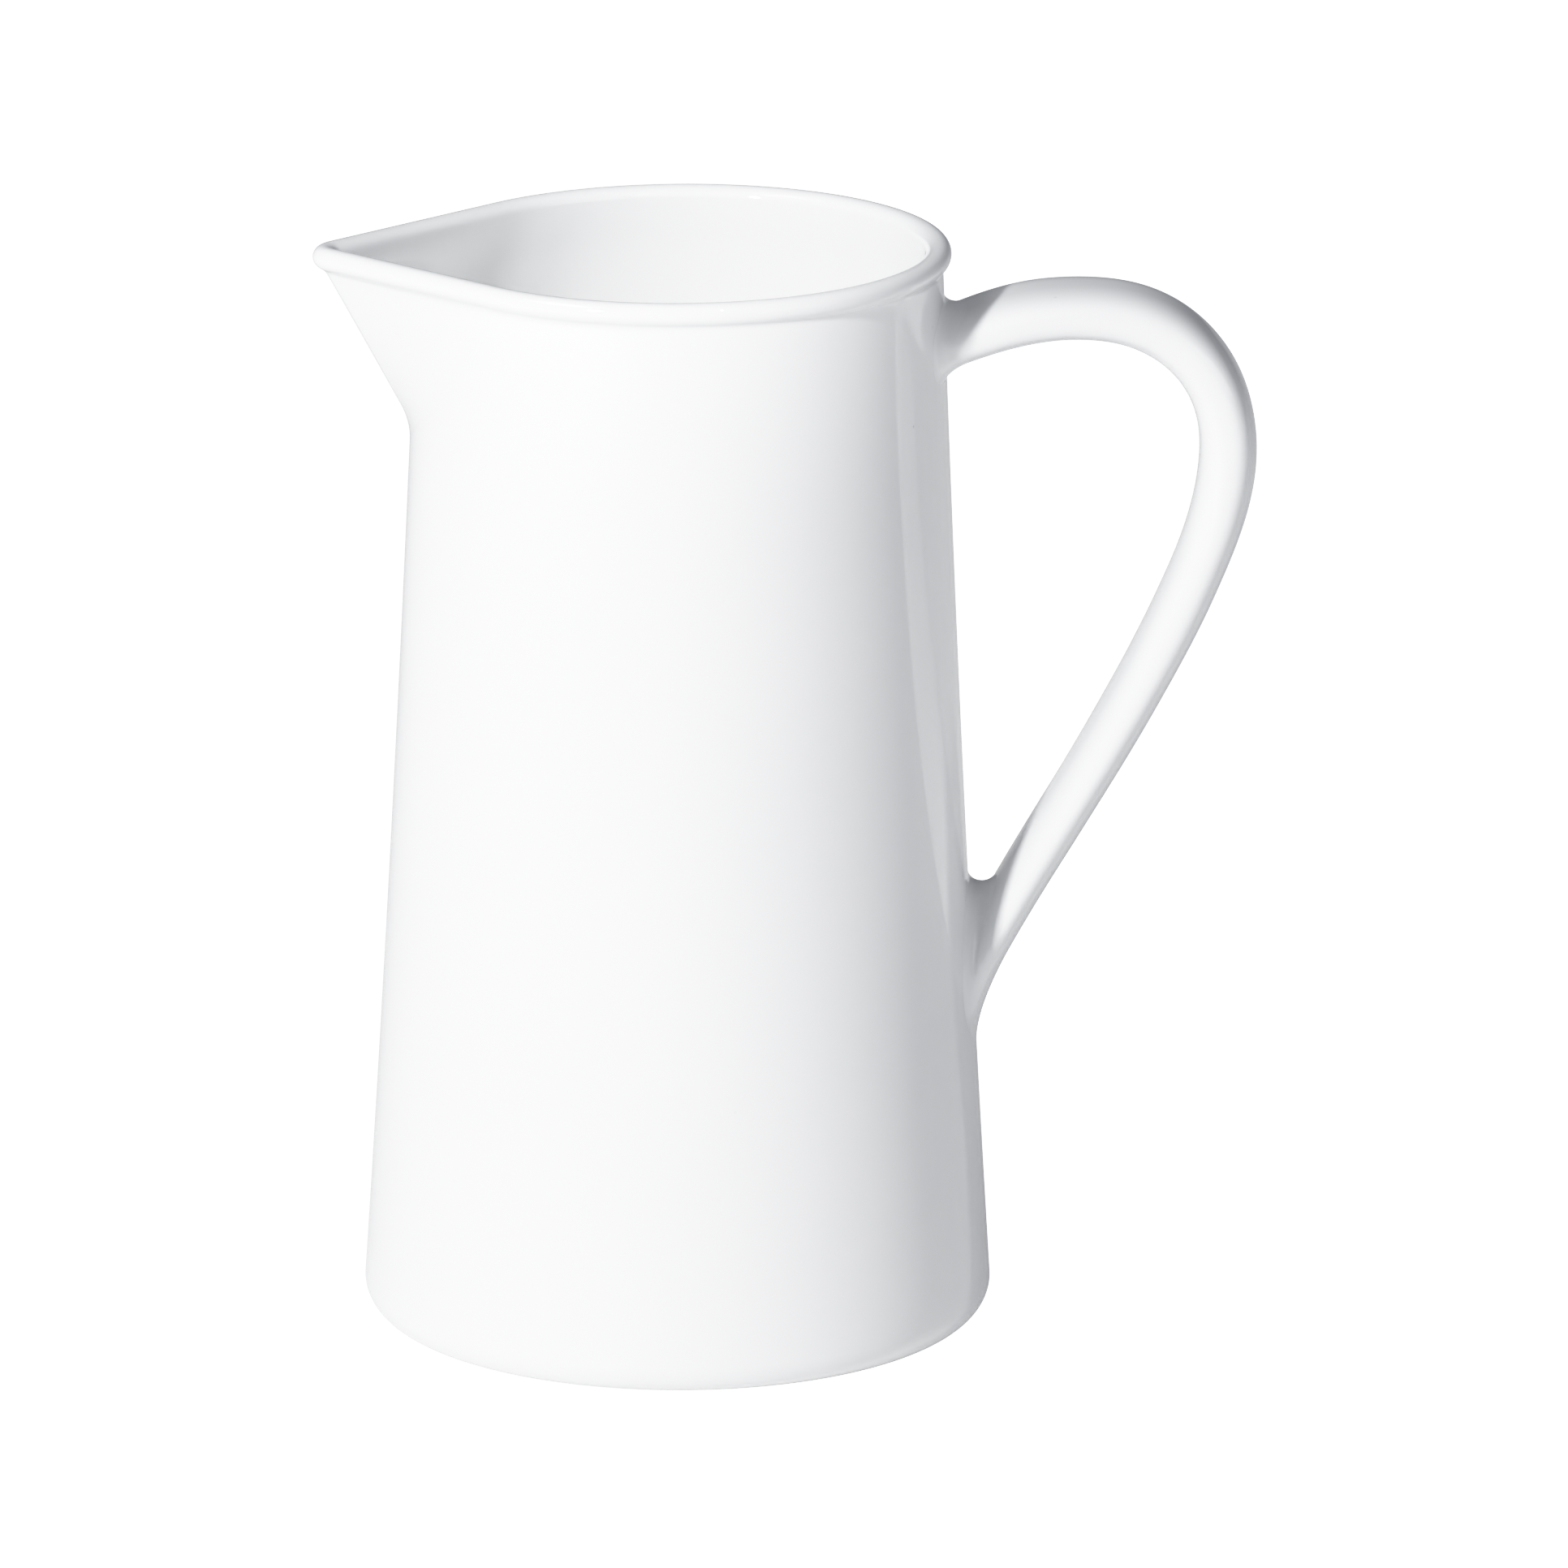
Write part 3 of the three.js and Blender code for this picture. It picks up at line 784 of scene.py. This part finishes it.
def bisque_material():
    """Bare fired clay, ground flat: fine grain and a few darker grains."""
    made, nodes, links, shader = material("bisque")
    place = nodes.new("ShaderNodeTexCoord").outputs["Object"]
    grain = noise(nodes, links, place, scale=900, detail=6, roughness=0.65)
    patch = noise(nodes, links, place, scale=70, detail=4)
    mixed = nodes.new("ShaderNodeMath")
    mixed.operation = "MULTIPLY"
    links.new(grain, mixed.inputs[0])
    links.new(patch, mixed.inputs[1])
    tone = ramp(nodes, links, mixed.outputs[0], [
        (0.12, (0.62, 0.57, 0.49)), (0.24, (0.77, 0.73, 0.66)), (0.38, (0.84, 0.81, 0.75))])
    links.new(tone, shader.inputs["Base Color"])
    links.new(spread(nodes, links, grain, 0.3, 0.7, 0.75, 0.95), shader.inputs["Roughness"])
    grit = bump(nodes, links, grain, distance=0.12 * MM, strength=0.7)
    links.new(grit, shader.inputs["Normal"])
    return made


def floor_material(name, shade, glow):
    """Matt and pale, and lit a little from within, as a light table is, to soften shadows."""
    made, nodes, links, shader = material(name)
    shader.inputs["Base Color"].default_value = (shade, shade, shade, 1)
    shader.inputs["Roughness"].default_value = 0.9
    shader.inputs["Specular IOR Level"].default_value = 0
    shader.inputs["Emission Color"].default_value = (1, 1, 1, 1)
    shader.inputs["Emission Strength"].default_value = glow
    return made


GLAZE = glaze_material()
BISQUE = bisque_material()

# ---------- camera, floor and light ----------

LENS = 317.48                   # on the 36 mm sensor
CAMERA_PLACE = Vector((0, -2.6416, 0.8418))
CAMERA_YAW = 0.0079             # radians
CAMERA_TILT = 0.2710
CAMERA_ROLL = 0.0045

FLOOR_HALF = 6
FLOOR_LEVEL = -0.05 * MM        # just under the foot ring, not in one plane with it
SNOOT_SOFT_EDGE = 0.5           # share of the beam over which it fades out
SNOOT_RADIUS = 0.04             # of the lamp itself
SKY_COLOUR = (0.87, 0.9, 1)
SKY_STRENGTH = 0.2


def make_camera():
    forward = Vector((math.sin(CAMERA_YAW) * math.cos(CAMERA_TILT),
                      math.cos(CAMERA_YAW) * math.cos(CAMERA_TILT),
                      -math.sin(CAMERA_TILT)))
    level = forward.cross(Vector((0, 0, 1))).normalized()
    upright = level.cross(forward)
    right = level * math.cos(CAMERA_ROLL) + upright * math.sin(CAMERA_ROLL)
    up = upright * math.cos(CAMERA_ROLL) - level * math.sin(CAMERA_ROLL)
    camera = bpy.data.objects.new("camera", bpy.data.cameras.new("camera"))
    camera.data.sensor_width = 36
    camera.data.lens = LENS
    camera.data.clip_end = 100
    turn = Matrix((right, up, -forward)).transposed().to_4x4()
    camera.matrix_world = Matrix.Translation(CAMERA_PLACE) @ turn
    bpy.context.scene.collection.objects.link(camera)
    bpy.context.scene.camera = camera


def make_plane(name, corners, shade, glow):
    mesh = bpy.data.meshes.new(name)
    mesh.from_pydata(corners, [], [(0, 1, 2, 3)])
    mesh.materials.append(floor_material(name, shade, glow))
    plane = bpy.data.objects.new(name, mesh)
    bpy.context.scene.collection.objects.link(plane)
    return plane


def make_floor():
    """The floor that is seen is burnt out to white, as on a light table. The pitcher itself
    is lit by a plain matt floor in the same place, so that its shaded side stays grey."""
    corners = ((-1, -1), (1, -1), (1, 1), (-1, 1))
    ground = [(x * FLOOR_HALF, y * FLOOR_HALF, FLOOR_LEVEL) for x, y in corners]
    seen = make_plane("floor", ground, shade=0.35, glow=1.6)
    seen.visible_diffuse = False
    seen.visible_glossy = False
    seen.visible_shadow = False
    bounce = make_plane("floor_bounce", ground, shade=0.8, glow=0.18)
    bounce.visible_camera = False
    bounce.visible_shadow = False


def add_lamp(light, azimuth, elevation, distance, target):
    """Aims a light at the target. Azimuth 0 is on the camera's side, and positive azimuth is
    to the right."""
    a = math.radians(azimuth)
    e = math.radians(elevation)
    back = Vector((math.sin(a) * math.cos(e), -math.cos(a) * math.cos(e), math.sin(e)))
    lamp = bpy.data.objects.new(light.name, light)
    lamp.location = target + back * distance
    lamp.rotation_mode = "QUATERNION"
    lamp.rotation_quaternion = (-back).to_track_quat("-Z", "Y")
    bpy.context.scene.collection.objects.link(lamp)


def make_softbox(name, azimuth, elevation, distance, width, height, power):
    """A rectangular light aimed at the middle of the pitcher."""
    light = bpy.data.lights.new(name, "AREA")
    light.shape = "RECTANGLE"
    light.size = width
    light.size_y = height
    light.energy = power
    add_lamp(light, azimuth, elevation, distance, Vector((0, 0, LIP_HEIGHT / 2)))


def make_snoot(name, azimuth, elevation, distance, reach, power):
    """A narrow beam down into the mouth. It stands in for light that the real inside passes
    from wall to wall more often than a render follows it."""
    light = bpy.data.lights.new(name, "SPOT")
    light.spot_size = 2 * math.atan(reach / distance)
    light.spot_blend = SNOOT_SOFT_EDGE
    light.shadow_soft_size = SNOOT_RADIUS
    light.energy = power
    add_lamp(light, azimuth, elevation, distance, Vector((0, 0, LIP_HEIGHT)))


def make_light():
    world = bpy.data.worlds.new("studio")
    world.use_nodes = True
    sky = world.node_tree.nodes["Background"]
    sky.inputs["Color"].default_value = (*SKY_COLOUR, 1)
    sky.inputs["Strength"].default_value = SKY_STRENGTH
    bpy.context.scene.world = world
    make_softbox("key", azimuth=-37.5, elevation=28, distance=2.2, width=0.16, height=0.16, power=44)
    make_softbox("high", azimuth=-70, elevation=55, distance=2, width=0.9, height=0.6, power=6.5)
    make_softbox("fill", azimuth=48, elevation=16, distance=1.6, width=1, height=0.5, power=1.7)
    make_snoot("snoot", azimuth=20, elevation=45, distance=1.5, reach=36 * MM, power=60)


make_camera()
make_floor()
make_light()

# Film response, as (light, shown): straight up to mid grey, then a soft shoulder, and white
# at WHITE_LEVEL
WHITE_LEVEL = 1.6
SHOULDER = [(0.3, 0.3), (0.6, 0.605), (0.8, 0.765), (1, 0.875), (1.2, 0.935), (1.4, 0.965)]


def set_film():
    view = bpy.context.scene.view_settings
    view.view_transform = "Standard"
    view.use_curve_mapping = True
    mapping = view.curve_mapping
    mapping.white_level = (WHITE_LEVEL,) * 3
    points = mapping.curves[3].points
    for light, shown in SHOULDER:
        points.new(light / WHITE_LEVEL, shown)
    mapping.update()


set_film()

# ---------- assembly ----------

shell_piece("body", body_angles, False)
shell_piece("spout", spout_angles, True)
lip_piece()
foot_piece()
upper_root = Root(UPPER_FILLET, outside=UPPER_CLEAR, inside=0, top_side=1)
lower_root = Root(LOWER_FILLET, outside=LOWER_CLEAR, inside=1, top_side=-1)
handle_piece(upper_root, lower_root)
upper_root.piece("upper_handle_joint")
lower_root.piece("lower_handle_joint")

bpy.context.view_layer.update()
